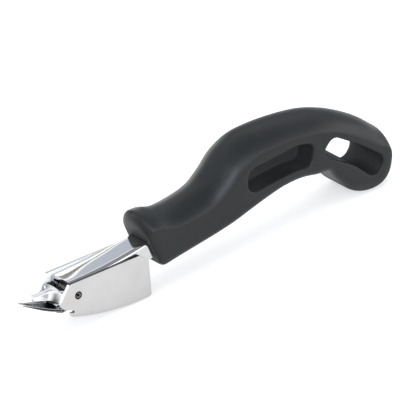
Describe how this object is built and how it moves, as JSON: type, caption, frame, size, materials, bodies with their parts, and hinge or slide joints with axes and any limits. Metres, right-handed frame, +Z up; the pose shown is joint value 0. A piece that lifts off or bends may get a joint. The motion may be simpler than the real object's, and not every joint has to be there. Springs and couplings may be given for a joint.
{
  "type": "staple remover",
  "caption": "Heavy-duty hand staple remover: a rocking steel shoe with a beak closes on a two-tine fork at the end of a hooked black handle.",
  "frame": {"origin": "centre of the bounding box at the height of the surface the tool stands on, in its rest pose on the sole and the tail of the handle", "axes": "+X from the jaws towards the tail of the handle, +Y to the left of the tool, +Z up; the tool is symmetric about Y = 0 apart from its return spring"},
  "size_m": [0.1888, 0.0252, 0.0496],
  "materials": {
    "grip_plastic": "satin moulded, finely textured",
    "mirror_chrome": "bright plated, mirror",
    "plated_steel": "bright plated, slightly orange-peeled",
    "jaw_steel": "bright plated, worn at the edges",
    "black_steel": "black oxide, lightly oiled",
    "spring_steel": "drawn wire"
  },
  "bodies": {
    "handle_body": {"handle": "grip_plastic", "shank": "mirror_chrome", "lower_jaw": "black_steel", "return_spring": "spring_steel"},
    "shoe_body": {"shoe": "plated_steel", "upper_jaw": "jaw_steel", "pivot_pin": "black_steel"}
  },
  "joints": [
    {"name": "jaw_pivot", "type": "hinge", "parent": "handle_body", "child": "shoe_body", "pos_m": [-0.07086, 0, 0.01731], "axis": [0, -1, 0], "range_deg": [0, 4.3], "stiffness_Nm_per_rad": 0.08, "springref_deg": -57.3, "deforming": ["return_spring"]}
  ]
}
